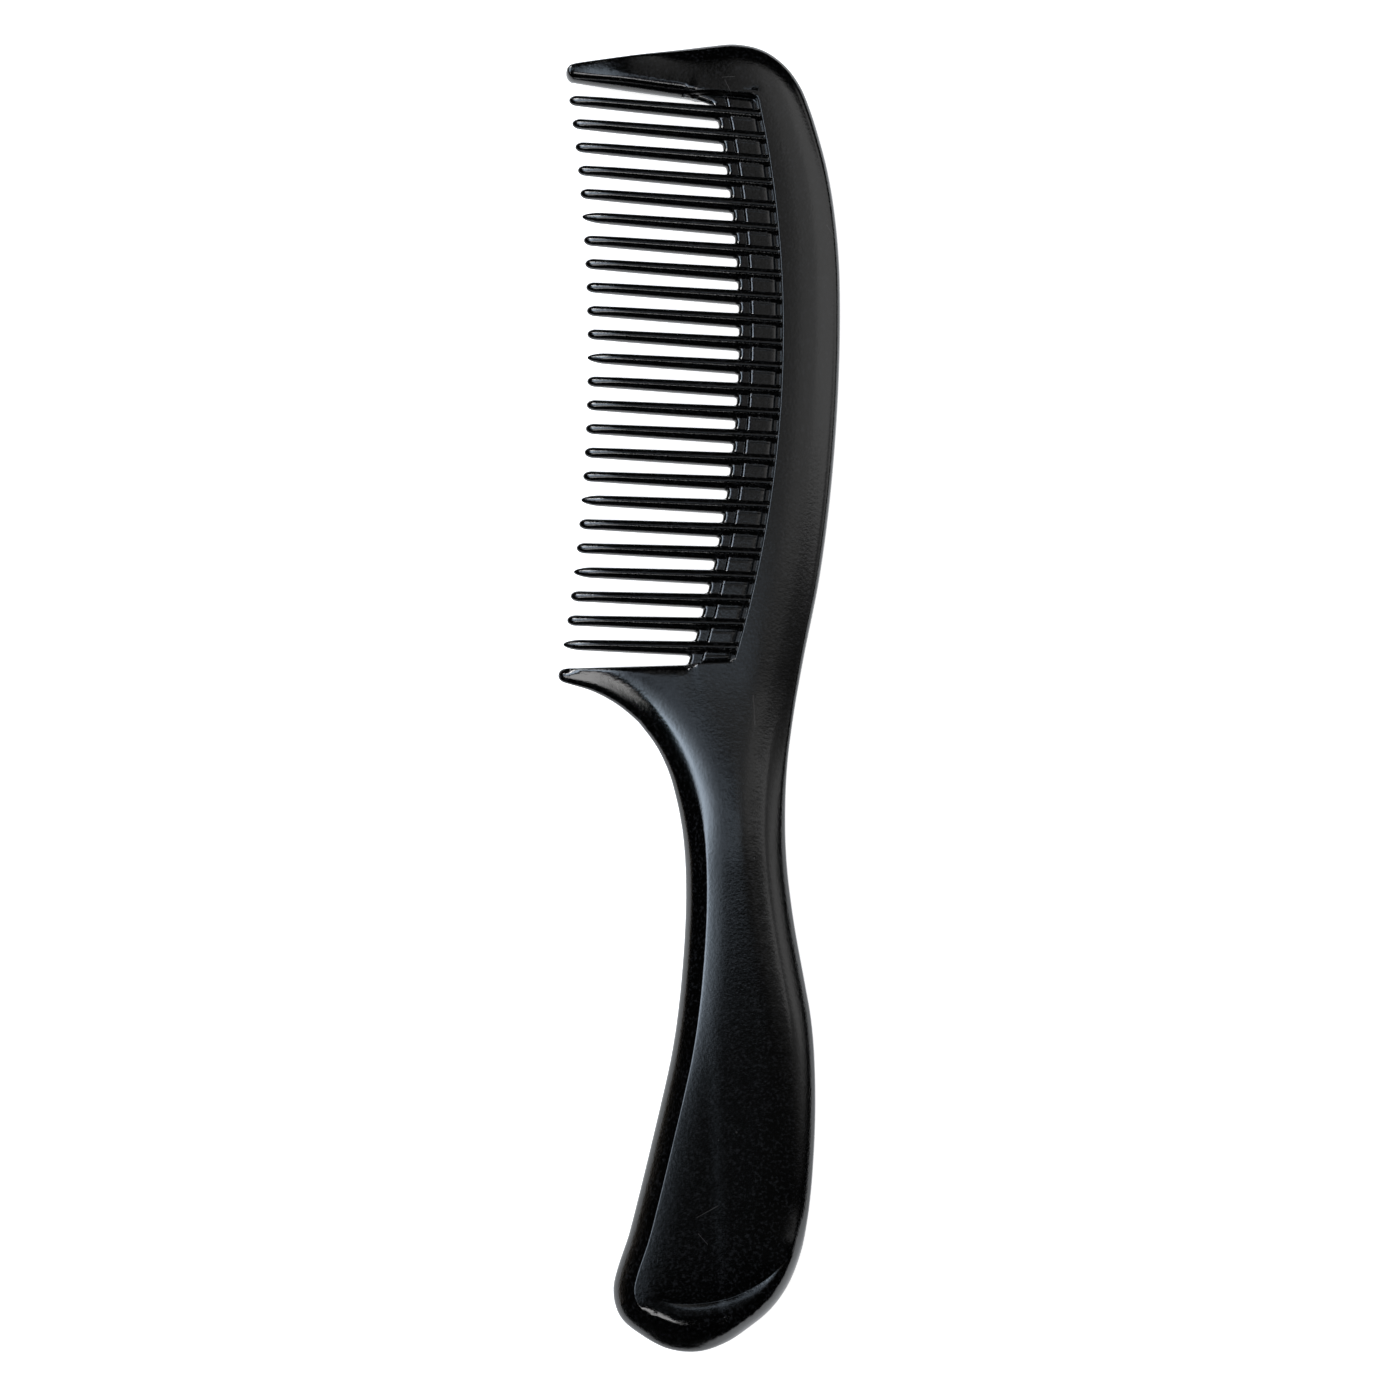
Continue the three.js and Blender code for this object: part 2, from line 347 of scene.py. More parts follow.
# Places across the band are measured from the root arc towards the spine, through these features.
RIB_HALF_WIDTH = 1.2
RIB_HALF_DEPTH = 1.86
RIB_BLEND = 0.1
WEB_HALF = 1.0
PAD_RISE = 0.4
PAD_START, PAD_END = 1.9, 6.4
PAD_CLEAR = 0.93
PAD_CORNER = 0.3
STEP_START = 6.95
BAND_START, BAND_END = 1.3, 7.9
GAP_FILLET = 0.5
WALL_TOP = 0.9
WALL_CORNER = 0.5
LOWER_WALL_LEAN = 0.6
WALL_SPREAD = 1.8
END_PAD_CLEAR = 0.1
# How steeply a limit on the height stops counting once it's passed
GUARD_LIFT = 15
FLOOR_LIFT = 10
GAP_LIFT = 5

# The lines of the band's mesh: across a rib, a gap and an end wall, and then along each of them
HALF_RIB_LANES = (1.2, 1.17, 1.1, 1.01, 0.9, 0.79, 0.6, 0.35, 0.12)
GAP_LANES = (0.06, 0.15, 0.28, 0.42, 0.58, 0.72, 0.85, 0.94)
WALL_LANES = (0, 0.04, 0.08, 0.13, 0.2, 0.3, 0.45, 0.65, 0.9)
NEAR_COLUMNS = (0, 0.012, 0.035, 0.07, 0.12, 0.19, 0.28, 0.4, 0.55, 0.75)
BAND_COLUMNS = (
    1.3, 1.6, 1.86, 1.9, 1.95, 2.02, 2.12, 2.25, 2.42, 2.6, 3.1, 3.8, 4.6, 5.3, 5.8, 6.05, 6.2,
    6.3, 6.36, 6.4, 6.5, 6.7, 6.9, 6.95, 6.99, 7.03, 7.08, 7.15, 7.25, 7.4, 7.6, 7.9,
)
RIB_LANES = HALF_RIB_LANES + tuple(-offset for offset in reversed(HALF_RIB_LANES))


def beyond_row(end, neighbour):
    """An imagined tooth one pitch beyond an end of the row."""
    tooth = Tooth.__new__(Tooth)
    tooth.root = 2 * end.root - neighbour.root
    tooth.out = 2 * end.out - neighbour.out
    tooth.up = 2 * end.up - neighbour.up
    return tooth


above_row, below_row = beyond_row(teeth[0], teeth[1]), beyond_row(teeth[-1], teeth[-2])


def beside(tooth, offset, beyond):
    """A place beside a tooth's axis, at a distance beyond the root arc."""
    return on_line(tooth.root + tooth.up * offset, -tooth.out, beyond)


def upper_wall(rise, beyond):
    """A place on the end wall of the recess next to the upper guard tooth."""
    return beside(above_row, rise - RIB_HALF_WIDTH, beyond)


def lower_wall(rise, beyond):
    """A place on the end wall of the recess next to the lower guard tooth."""
    lean = LOWER_WALL_LEAN * beyond / BAND_END
    return beside(below_row, RIB_HALF_WIDTH + lean - rise, beyond)


CORNER_SHARE = 0.09
UPPER_CORNER = corners[2] + (corners[UPPER_NOSE] - corners[2]) * CORNER_SHARE
LOWER_CORNER = lower_wall(0, -GAP_FILLET)


def notch(distance):
    """How far a gap's rounded end reaches back towards the tips, near the gap's side."""
    short = np.clip(GAP_FILLET - distance, 0, GAP_FILLET)
    return GAP_FILLET - np.sqrt(GAP_FILLET ** 2 - short ** 2)


first_gap_end = catmull_rom(np.array([
    UPPER_CORNER, corners[2], corners[1], corners[0], beside(teeth[0], RIB_HALF_WIDTH, -GAP_FILLET),
]))


class Lane:
    """One line of the band's mesh, from the edge of a gap or a tooth's root to the back."""

    def __init__(self, start, place, edge, pitch):
        self.start, self.place, self.edge, self.pitch = start, place, edge, pitch

    def points(self):
        meet = self.place(BAND_START)
        near = [self.start + (meet - self.start) * share for share in NEAR_COLUMNS]
        return near + [self.place(column) for column in BAND_COLUMNS]


def wall_lanes(wall, corner, along, pitch):
    return [
        Lane(corner + along * WALL_SPREAD * rise / WALL_TOP, lambda u, rise=rise: wall(rise, u), True, pitch)
        for rise in WALL_LANES
    ]


def gap_lanes(upper, lower, pitch, end_curve=None):
    """Lanes across a gap between two lines that are functions of place beyond the root arc."""
    lanes = []
    width = np.linalg.norm(upper(0) - lower(0))
    for share in GAP_LANES:
        def place(u, share=share):
            return upper(u) * (1 - share) + lower(u) * share
        if end_curve is None:
            start = place(-float(notch(min(share, 1 - share) * width)))
        else:
            along = arc_length(end_curve)
            spot = share * along[-1]
            start = np.array([np.interp(spot, along, end_curve[:, axis]) for axis in (0, 1)])
        lanes.append(Lane(start, place, True, pitch))
    return lanes


def rib_lanes(tooth, pitch):
    """Lanes across a tooth's rib."""
    lanes = []
    for offset in RIB_LANES:
        def place(u, offset=offset):
            return beside(tooth, offset, u)
        lanes.append(Lane(place(-GAP_FILLET), place, abs(offset) == RIB_HALF_WIDTH, pitch))
    return lanes


def flank(tooth, side):
    """The line along a side of a tooth's rib."""
    return lambda u: beside(tooth, side * RIB_HALF_WIDTH, u)


# The lines on both sides of the gap below each tooth
gaps = [(flank(tooth, -1), flank(after, 1)) for tooth, after in zip(teeth, teeth[1:])]
gaps.append((flank(teeth[-1], -1), lambda u: lower_wall(0, u)))

lanes = wall_lanes(upper_wall, UPPER_CORNER, unit(corners[UPPER_NOSE] - corners[2]), 0)[::-1]
lanes += gap_lanes(lambda u: upper_wall(0, u), flank(teeth[0], 1), 0, first_gap_end)
rib_start = []
for index, (tooth, (upper, lower)) in enumerate(zip(teeth, gaps)):
    rib_start.append(len(lanes))
    lanes += rib_lanes(tooth, index) + gap_lanes(upper, lower, index + 1)
lanes += wall_lanes(lower_wall, LOWER_CORNER, unit(corners[LOWER_NOSE] - corners[-3]), len(teeth))

band = np.array([lane.points() for lane in lanes])
band_edge = np.zeros(band.shape[:2], bool)
band_edge[:, 0] = [lane.edge for lane in lanes]

# ---------------- outline

BUTT_SWELL, SWELL_PLACE, SWELL_REACH = 0.55, np.array([20.5, -100.5]), 6
BOX_REACH = 20
WALL_LINE_END, WALL_LINE_STEP = 6, 0.1


def swell(points):
    """Rounds the butt out a little on its lower right, between the CAD model's corners."""
    away = np.linalg.norm(points - SWELL_PLACE, axis=1)
    return points + to_left(points) * (BUTT_SWELL * np.exp(-(away / SWELL_REACH) ** 2))[:, None]


def into_box(points):
    """Draws the smoothed outline in by the little that it bulges out of the CAD model's box."""
    drawn = points.copy()
    for axis, low, high in ((0, LOW_X, HIGH_X), (1, LOW_Y, HIGH_Y)):
        place = points[:, axis]
        over, under = max(place.max() - high, 0), max(low - place.min(), 0)
        drawn[:, axis] -= over * smooth_step(place, high - BOX_REACH, high)
        drawn[:, axis] += under * smooth_step(-place, -low - BOX_REACH, -low)
    return np.clip(drawn, [LOW_X, LOW_Y], [HIGH_X, HIGH_Y])


GUARD_EDGE_POINTS = 12
outer = np.vstack([
    np.linspace(UPPER_CORNER, corners[UPPER_NOSE], GUARD_EDGE_POINTS),
    corners[UPPER_NOSE + 1:LOWER_NOSE],
    np.linspace(corners[LOWER_NOSE], LOWER_CORNER, GUARD_EDGE_POINTS),
])
dense = into_box(swell(catmull_rom(outer)))


def nearest_index(points, target):
    return int(np.linalg.norm(points - target, axis=1).argmin())


upper_nose = nearest_index(dense, corners[UPPER_NOSE])
lower_nose = nearest_index(dense, corners[LOWER_NOSE])
around = dense[upper_nose:lower_nose + 1]


def guard_line(edge, corner, wall, count):
    """A guard tooth's edge towards the row, carried on along the end wall of the recess."""
    return np.vstack([
        edge, np.linspace(corner, wall(0, BAND_START), count)[1:],
        [wall(0, place) for place in np.arange(BAND_START, WALL_LINE_END, WALL_LINE_STEP)[1:]],
    ])


# Places along the outline, clockwise from the upper nose, and the edge shape that it has there.
# Between two places one shape passes smoothly into the next.
EDGE_PLACES = (
    (corners[UPPER_NOSE], crisp_edge), ((-15.8, 104.5), crisp_edge), ((-3, 107.3), spine_edge),
    ((21, 10), spine_edge), ((18.2, -16), right_edge), ((25.8, -84), right_edge),
    ((23.3, -95.9), bead_edge), ((17.7, -103.2), bead_edge), ((8, -108), butt_edge),
    ((3.5, -107.4), butt_edge), ((-1, -105), left_low_edge), ((0.3, -76.5), left_low_edge),
    ((3.4, -45), left_middle_edge), ((2.9, -33), left_middle_edge), ((0.7, -21), left_edge),
    (corners[LOWER_NOSE], left_edge),
)
EDGES = tuple(dict.fromkeys(edge for _, edge in EDGE_PLACES))


def edge_weights():
    """How much of each edge shape the outline has, at each of its dense points."""
    along = arc_length(around)
    places = [along[nearest_index(around, place)] for place, _ in EDGE_PLACES]
    weights = np.zeros((len(around), len(EDGES)))
    for (start, (_, first)), (end, (_, second)) in zip(
        zip(places, EDGE_PLACES), zip(places[1:], EDGE_PLACES[1:])
    ):
        inside = (along >= start) & (along <= end)
        share = smooth_step(along[inside], start, max(end, start + 1e-6))
        weights[inside] = 0
        weights[inside, EDGES.index(first)] += 1 - share
        weights[inside, EDGES.index(second)] += share
    return weights


def search_tree(points):
    tree = KDTree(len(points))
    for index, point in enumerate(points):
        tree.insert((point[0], point[1], 0), index)
    tree.balance()
    return tree


class Line:
    """A dense line that distances are measured from."""

    def __init__(self, points):
        self.points, self.tree = points, search_tree(points)

    def nearest(self, points):
        """The distance from each point to the line, and the index of the line's nearest point."""
        found = np.array([self.tree.find((x, y, 0))[1] for x, y in points], int)
        best = np.full(len(points), np.inf)
        for step in (-1, 0):
            first = self.points[np.clip(found + step, 0, len(self.points) - 2)]
            second = self.points[np.clip(found + step, 0, len(self.points) - 2) + 1]
            run = second - first
            share = np.clip(((points - first) * run).sum(1) / (run * run).sum(1), 0, 1)
            best = np.minimum(best, np.linalg.norm(points - first - run * share[:, None], axis=1))
        return best, found


around_curve = Line(around)
upper_guard_curve = Line(guard_line(dense[:upper_nose + 1][::-1], UPPER_CORNER, upper_wall, 60))
lower_guard_curve = Line(guard_line(dense[lower_nose:], LOWER_CORNER, lower_wall, 20))
around_weights = edge_weights()

RAMP_START, RAMP_END = -32, 0
BUTT_CREASE = catmull_rom(np.array([
    (0.9, -100), (6.7, -100.8), (13.9, -99.5), (19.5, -96.3), (22.7, -92.8), (24, -90.5),
]))
crease_curve = Line(BUTT_CREASE)
CREASE_DEPTH = 0.25
CREASE_INNER_REACH, CREASE_OUTER_REACH = 2.2, 0.7
CREASE_FADE_IN, CREASE_FADE_OUT = (0.02, 0.3), (0.88, 0.99)
NOSE_THINNING, NOSE_START, NOSE_REACH = 0.3, -2, 10
CORNER_CRISPNESS, CORNER_REACH = 3, 3.5
WEB_RISE = (0.1, 0.5)
GUARD_BLEND = 0.25


def face_height(points):
    """The half thickness away from any edge: the handle's, sloping to the back's and the noses'."""
    height = HANDLE_HALF + (BACK_HALF - HANDLE_HALF) * smooth_step(points[:, 1], RAMP_START, RAMP_END)
    for tip in (corners[UPPER_NOSE], corners[LOWER_NOSE]):
        away = np.linalg.norm(points - tip, axis=1)
        height *= 1 - NOSE_THINNING * (1 - smooth_step(away, NOSE_START, NOSE_REACH))
    return height


def crease_sink(points):
    """The shallow crease that sets the bead round the butt apart from the handle's face."""
    distance, index = crease_curve.nearest(points)
    last = len(BUTT_CREASE) - 1
    ahead = BUTT_CREASE[np.clip(index + 1, 0, last)] - BUTT_CREASE[np.clip(index - 1, 0, None)]
    offset = points - BUTT_CREASE[index]
    side = ahead[:, 0] * offset[:, 1] - ahead[:, 1] * offset[:, 0]
    reach = np.where(side > 0, CREASE_INNER_REACH, CREASE_OUTER_REACH)
    along = index / len(BUTT_CREASE)
    window = smooth_step(along, *CREASE_FADE_IN) * (1 - smooth_step(along, *CREASE_FADE_OUT))
    return CREASE_DEPTH * window * np.exp(-distance / reach)


def guard_limit(points, curve, corner, full):
    """How far a guard's rounding towards the teeth holds the height down, crisper beyond the corner
    where the guard's edge carries on as the end of the recess over the tooth roots."""
    distance, index = curve.nearest(points)
    past = arc_length(curve.points)
    past = past[index] - past[nearest_index(curve.points, corner)]
    limit = full * guard_edge(distance * (1 + CORNER_CRISPNESS * smooth_step(past, 0, CORNER_REACH)))
    limit += full * smooth_step(past, CORNER_REACH / 2, CORNER_REACH)
    return np.maximum(limit, WEB_HALF * smooth_step(past, *WEB_RISE))


def body_height(points):
    """Half the comb's thickness at points of its handle, back and guard teeth."""
    distance, index = around_curve.nearest(points)
    weights = around_weights[index]
    share = sum(weights[:, place] * edge(distance) for place, edge in enumerate(EDGES))
    full = face_height(points)
    height = full * share
    for curve, corner in ((upper_guard_curve, UPPER_CORNER), (lower_guard_curve, LOWER_CORNER)):
        height = smooth_min(height, guard_limit(points, curve, corner, full), GUARD_BLEND)
    return np.maximum(height - crease_sink(points), 0)


FLANK_END, FLANK_STEP = 3, 0.1
GAP_END_POINTS = 61


def gap_outline():
    """The edges of the gaps near their ends, as dense points."""
    pieces = [first_gap_end]
    shares = np.linspace(0, 1, GAP_END_POINTS)
    for tooth, (upper, lower) in zip(teeth, gaps):
        width = np.linalg.norm(upper(0) - lower(0))
        for share in shares:
            u = -float(notch(min(share, 1 - share) * width))
            pieces.append((upper(u) * (1 - share) + lower(u) * share)[None])
        for side in (1, -1):
            flank_places = np.arange(GAP_FILLET, FLANK_END, FLANK_STEP)
            pieces.append(np.array([beside(tooth, side * RIB_HALF_WIDTH, -u) for u in flank_places]))
    return np.vstack(pieces)


def distance_to_cloud(points, cloud):
    """The distance from each point to the nearest point of a cloud."""
    tree = search_tree(cloud)
    return np.array([tree.find((x, y, 0))[2] for x, y in points])


def beyond_end(points, corner, wall, side, near):
    """Signed distance beyond an end wall of the recess and the edge that leads to it from a corner.
    Points near it but outside the corner count as far beyond it."""
    bend = wall(0, BAND_START)
    distances = []
    for start, end in ((corner, bend), (bend, wall(0, BAND_END))):
        run = unit(end - start)
        distances.append((points - start) @ (np.array([-run[1], run[0]]) * side))
    beyond = np.where(points[:, 0] < bend[0], distances[0], distances[1])
    outside = (corner - points) @ unit(bend - corner)
    return beyond + np.where(near, GUARD_LIFT * np.clip(outside, 0, None), 0)


def band_height(points, pitch):
    """Half the comb's thickness at points of the band. The pitch says which gap or rib they're by."""
    rows = [above_row] + teeth + [below_row]
    roots = np.array([tooth.root for tooth in rows])
    ups = np.array([tooth.up for tooth in rows])
    below_upper = -((points - roots[pitch]) * ups[pitch]).sum(1)
    above_lower = ((points - roots[pitch + 1]) * ups[pitch + 1]).sum(1)
    nearest_axis = np.minimum(np.abs(below_upper), np.abs(above_lower))
    ends = ((pitch == 0) & (below_upper < above_lower)) | (
        (pitch == len(teeth)) & (above_lower < below_upper))
    rib = RIB_HALF_DEPTH * np.sqrt(np.clip(1 - (nearest_axis / RIB_HALF_WIDTH) ** 2, 0, None))
    rib[ends] = 0
    beyond = beyond_arc(points)
    over = beyond_end(points, UPPER_CORNER, upper_wall, 1, pitch == 0)
    under = beyond_end(points, LOWER_CORNER, lower_wall, -1, pitch == len(teeth))
    end_wall = np.maximum(over, under)
    step = beyond - STEP_START
    both = (step > -WALL_CORNER) & (end_wall > -WALL_CORNER)
    corner = np.hypot(step + WALL_CORNER, end_wall + WALL_CORNER) - WALL_CORNER
    wall = np.where(both, corner, np.maximum(step, end_wall))
    sides = np.minimum(beyond - PAD_START, PAD_END - beyond)
    top = np.where(pitch == 0, -over - END_PAD_CLEAR, below_upper - PAD_CLEAR)
    bottom = np.where(pitch == len(teeth), -under - END_PAD_CLEAR, PROFILE_REACH)
    across = PAD_CORNER - sides
    along = PAD_CORNER - np.minimum(top, bottom)
    rounded = np.where((across > 0) & (along > 0), np.hypot(across, along), np.maximum(across, along))
    pad = PAD_RISE * pad_edge(np.clip(PAD_CORNER - rounded, 0, None))
    floor = WEB_HALF + pad + (BACK_HALF - WEB_HALF - pad) * wall_edge(np.clip(wall, 0, None))
    floor += FLOOR_LIFT * np.clip(wall - WALL_TOP, 0, None)
    gap = distance_to_cloud(points, gap_outline())
    gap_limit = WEB_HALF * gap_edge(gap) + GAP_LIFT * np.clip(gap - GAP_EDGE_WIDTH, 0, None)
    gap_limit += GUARD_LIFT * np.clip(end_wall, 0, None)
    sheet = np.minimum(np.minimum(body_height(points), gap_limit), floor)
    return np.maximum(smooth_max(rib, sheet, RIB_BLEND), 0)


# ---------------- the mesh of the upper face


class Face:
    """The upper face's points, their half thickness, and its faces with the piece each belongs to."""

    def __init__(self):
        self.points, self.heights, self.faces, self.labels = [], [], [], []

    def add_points(self, points, heights):
        """Adds points and returns the index of the first."""
        start = len(self.points)
        self.points += [tuple(point) for point in points]
        self.heights += list(heights)
        return start

    def add_face(self, ring, label):
        self.faces.append(tuple(int(corner) for corner in ring))
        self.labels.append(label)


face = Face()


def add_band():
    """Adds the band's grid and returns the index of each of its points."""
    flat_band = band.reshape(-1, 2)
    pitch_of = np.repeat([lane.pitch for lane in lanes], band.shape[1])
    heights = band_height(flat_band, pitch_of)
    heights[band_edge.reshape(-1)] = 0
    start = face.add_points(flat_band, heights)
    index = start + np.arange(len(flat_band)).reshape(band.shape[:2])
    for lane in range(len(lanes) - 1):
        for column in range(band.shape[1] - 1):
            face.add_face((
                index[lane, column], index[lane + 1, column],
                index[lane + 1, column + 1], index[lane, column + 1],
            ), "back")
    return index


TIP_HALF_WIDTH = 0.9
TIP_HALF_DEPTH = 1.4
END_HALF_DEPTH = 0.72
EVEN_LENGTH = 4
TAPER_LENGTH, TAPER_OVERSHOOT, TAPER_STRENGTH = 6, 1.5, 1.2
# The pointed teeth by number, and the length and fullness of a tip
POINTED_TEETH = (6, 12, 18, 21, 24)
ROUND_TIP, POINTED_TIP = (1.5, 2.2), (3.0, 1.7)
TIP_COLUMNS = (5, 4, 3.2, 2.6, 2.1, 1.7, 1.3, 1.0, 0.75, 0.5, 0.32, 0.17, 0.07, 0.02)
SHANK_START, SHANK_COLUMNS = 1.6, 9


def tooth_shape(tooth, number, along):
    """A tooth's half width and half depth at places along it from its root."""
    share = np.clip(along / (tooth.length - EVEN_LENGTH), 0, 1)
    width = RIB_HALF_WIDTH + (TIP_HALF_WIDTH - RIB_HALF_WIDTH) * share
    depth = RIB_HALF_DEPTH + (TIP_HALF_DEPTH - RIB_HALF_DEPTH) * share
    taper = smooth_step(along, tooth.length - TAPER_LENGTH, tooth.length + TAPER_OVERSHOOT)
    depth = depth + (END_HALF_DEPTH - TIP_HALF_DEPTH) * taper * TAPER_STRENGTH
    length, power = POINTED_TIP if number in POINTED_TEETH else ROUND_TIP
    close = np.clip((along - tooth.length + length) / length, 0, 1)
    end = np.sqrt(np.clip(1 - close ** power, 0, None))
    return width * end, depth * end


def add_tooth(tooth, number, root_index):
    """Adds a tooth's grid, from the points it shares with its rib to its tip."""
    label = TOOTH_NODES[number - 1]
    across = np.array(RIB_LANES) / RIB_HALF_WIDTH
    root_points = band[rib_start[number - 1]:rib_start[number - 1] + len(RIB_LANES), 0]
    root_along = (root_points - tooth.root) @ tooth.out
    shank = np.linspace(SHANK_START, tooth.length - TIP_COLUMNS[0] - 1, SHANK_COLUMNS)
    places = np.concatenate([shank, tooth.length - np.array(TIP_COLUMNS)])
    before = root_index
    for place in places:
        along = np.full(len(across), place)
        if place == places[0]:
            along += (root_along - GAP_FILLET) * 0.3
        width, depth = tooth_shape(tooth, number, along)
        points = tooth.root + np.outer(along, tooth.out) + np.outer(across * width, tooth.up)
        heights = depth * np.sqrt(np.clip(1 - across ** 2, 0, None))
        start = face.add_points(points, heights)
        row = start + np.arange(len(across))
        for lane in range(len(across) - 1):
            face.add_face((before[lane], row[lane], row[lane + 1], before[lane + 1]), label)
        before = row
    tip = face.add_points([tooth.root + tooth.out * tooth.length], [0])
    for lane in range(len(across) - 1):
        face.add_face((before[lane], tip, before[lane + 1]), label)


# How far in from the outline, the crease and the band's ends the rows of mesh points lie.
ROWS = (
    0.02, 0.06, 0.12, 0.2, 0.32, 0.5, 0.7, 0.95, 1.25, 1.6, 2.0, 2.5, 2.9, 3.1, 3.3, 3.4, 3.44,
    3.55, 3.75, 4.2,
)
CREASE_ROWS = (-2.4, -1.6, -1, -0.6, -0.3, -0.12, 0, 0.12, 0.3, 0.6, 1, 1.6, 2.4)
LANE_ROWS = (0.12, 0.28, 0.5, 0.8, 1.15, 1.6, 2.1, 2.7, 3.4, 4.2)
# Rows deeper than this hold every second point, and those near the crease stop at the next depth.
DEEP_ROW = 1.4
CREASE_EDGE_ROW = 1.7
INNER_SPACING, CREASE_SPACING, LANE_SPACING = 1.2, 0.7, 0.45
EDGE_SPACING = (0.16, 0.8)
CHORD_SAG = 0.004
# The least distance from the middle's points to the edge rows, the band's border and a seam
ROWS_CLEAR, BORDER_CLEAR, SEAM_CLEAR = 0.7, 0.8, 0.35
# A row keeps the points that are really this share of its distance from a line.
ROW_TRUE = 0.95
SEAM_END = 0.5

UPPER_GUARD_X = box_mm("upper_guard_tooth")[1][0] + SPLIT_GAP / 2
LOWER_GUARD_X = box_mm("lower_guard_tooth")[1][0] + SPLIT_GAP / 2
# Roughly where the cuts meet the outline, and the stretches of Y that the guard teeth lie in
NECK_XS, UPPER_GUARD_Y, LOWER_GUARD_YS = (18.8, 2.6), 107, (-9.4, -0.1)
UPPER_GUARD_LOW, LOWER_GUARD_LOW, LOWER_GUARD_HIGH = 90, -14, 3


def seam_points(start, end):
    """Points along a straight seam between two pieces, closer together near its ends."""
    length = np.linalg.norm(end - start)
    near = np.array([row for row in ROWS if row < length / 2 - SEAM_END])
    middle = np.linspace(near[-1], length - near[-1], max(3, int(length / INNER_SPACING)))
    places = np.concatenate([near[:-1], middle, (length - near[:-1])[::-1]])
    return start + (end - start) * (places / length)[:, None]


def distance_to_seam(points, start, end):
    """The distance from each point to a straight seam."""
    run = end - start
    share = np.clip((points - start) @ run / (run @ run), 0, 1)
    return np.linalg.norm(points - start - share[:, None] * run, axis=1)


def move_to(edge, axis, value, near):
    """Moves the outline's point that is nearest a place onto a seam's line, and returns its index."""
    index = nearest_index(edge, near)
    before, after = edge[index - 1], edge[index + 1]
    share = (value - before[axis]) / (after[axis] - before[axis])
    edge[index] = before + (after - before) * np.clip(share, 0.1, 0.9)
    return index


def body_edge():
    """The outline of the handle, back and guard teeth, from one end of the band to the other."""
    first, last = nearest_index(dense, band[0, 0]), nearest_index(dense, band[-1, 0])
    edge = dense[first:last + 1].copy()
    edge[0], edge[-1] = band[0, 0], band[-1, 0]
    edge = resample(edge, np.clip(np.sqrt(8 * bend_radius(edge) * CHORD_SAG), *EDGE_SPACING))
    edge[0], edge[-1] = band[0, 0], band[-1, 0]
    return edge


def beside_crease(points, reach):
    """Whether points are within reach of the butt's crease, and not off its ends."""
    distance, index = crease_curve.nearest(points)
    return (distance < reach) & (index > 1) & (index < len(BUTT_CREASE) - 2)


def inner_grid(edge_line, border_line):
    """A triangular grid of points over the middle of the body."""
    xs = np.arange(LOW_X, HIGH_X, INNER_SPACING)
    ys = np.arange(LOW_Y, HIGH_Y, INNER_SPACING * math.sqrt(3) / 2)
    grid = np.vstack([
        np.c_[xs + (index % 2) * INNER_SPACING / 2, np.full(len(xs), y)] for index, y in enumerate(ys)
    ])
    grid = grid[edge_line.nearest(grid)[0] > ROWS[-1] + ROWS_CLEAR]
    keep = border_line.nearest(grid)[0] > BORDER_CLEAR
    keep &= ~beside_crease(grid, CREASE_ROWS[-1] + 0.4)
    return grid[keep]


def crease_rows(edge_line):
    """Rows of points on both sides of the butt's crease."""
    along = resample(BUTT_CREASE, np.full(len(BUTT_CREASE), CREASE_SPACING))
    across = to_left(along)
    rows = np.vstack([along + across * offset for offset in CREASE_ROWS])
    return rows[edge_line.nearest(rows)[0] > CREASE_EDGE_ROW]


def edge_rows(edge, edge_line, border_line):
    """Rows of points that follow the outline inwards, where the edge rounds over."""
    inward = -to_left(edge)
    rows = []
    for distance in ROWS:
        step = 1 if distance < DEEP_ROW else 2
        row = (edge + inward * distance)[1:-1:step]
        keep = edge_line.nearest(row)[0] > ROW_TRUE * distance
        keep &= border_line.nearest(row)[0] > min(0.4, 0.02 + 0.5 * distance)
        if distance > CREASE_EDGE_ROW - 0.1:
            keep &= ~beside_crease(row, CREASE_ROWS[-1] + 0.2)
        rows.append(row[keep])
    for lane in (band[0, ::-1], band[-1]):
        line = resample(lane, np.full(len(lane), LANE_SPACING))
        away_from_band = -to_left(line)
        for distance in LANE_ROWS:
            row = line + away_from_band * distance
            away = edge_line.nearest(row)[0]
            keep = (away > ROW_TRUE * distance) & (away < ROWS[-1] + 0.6)
            rows.append(row[keep & (border_line.nearest(row)[0] > 0.9 * distance)])
    return np.vstack(rows)


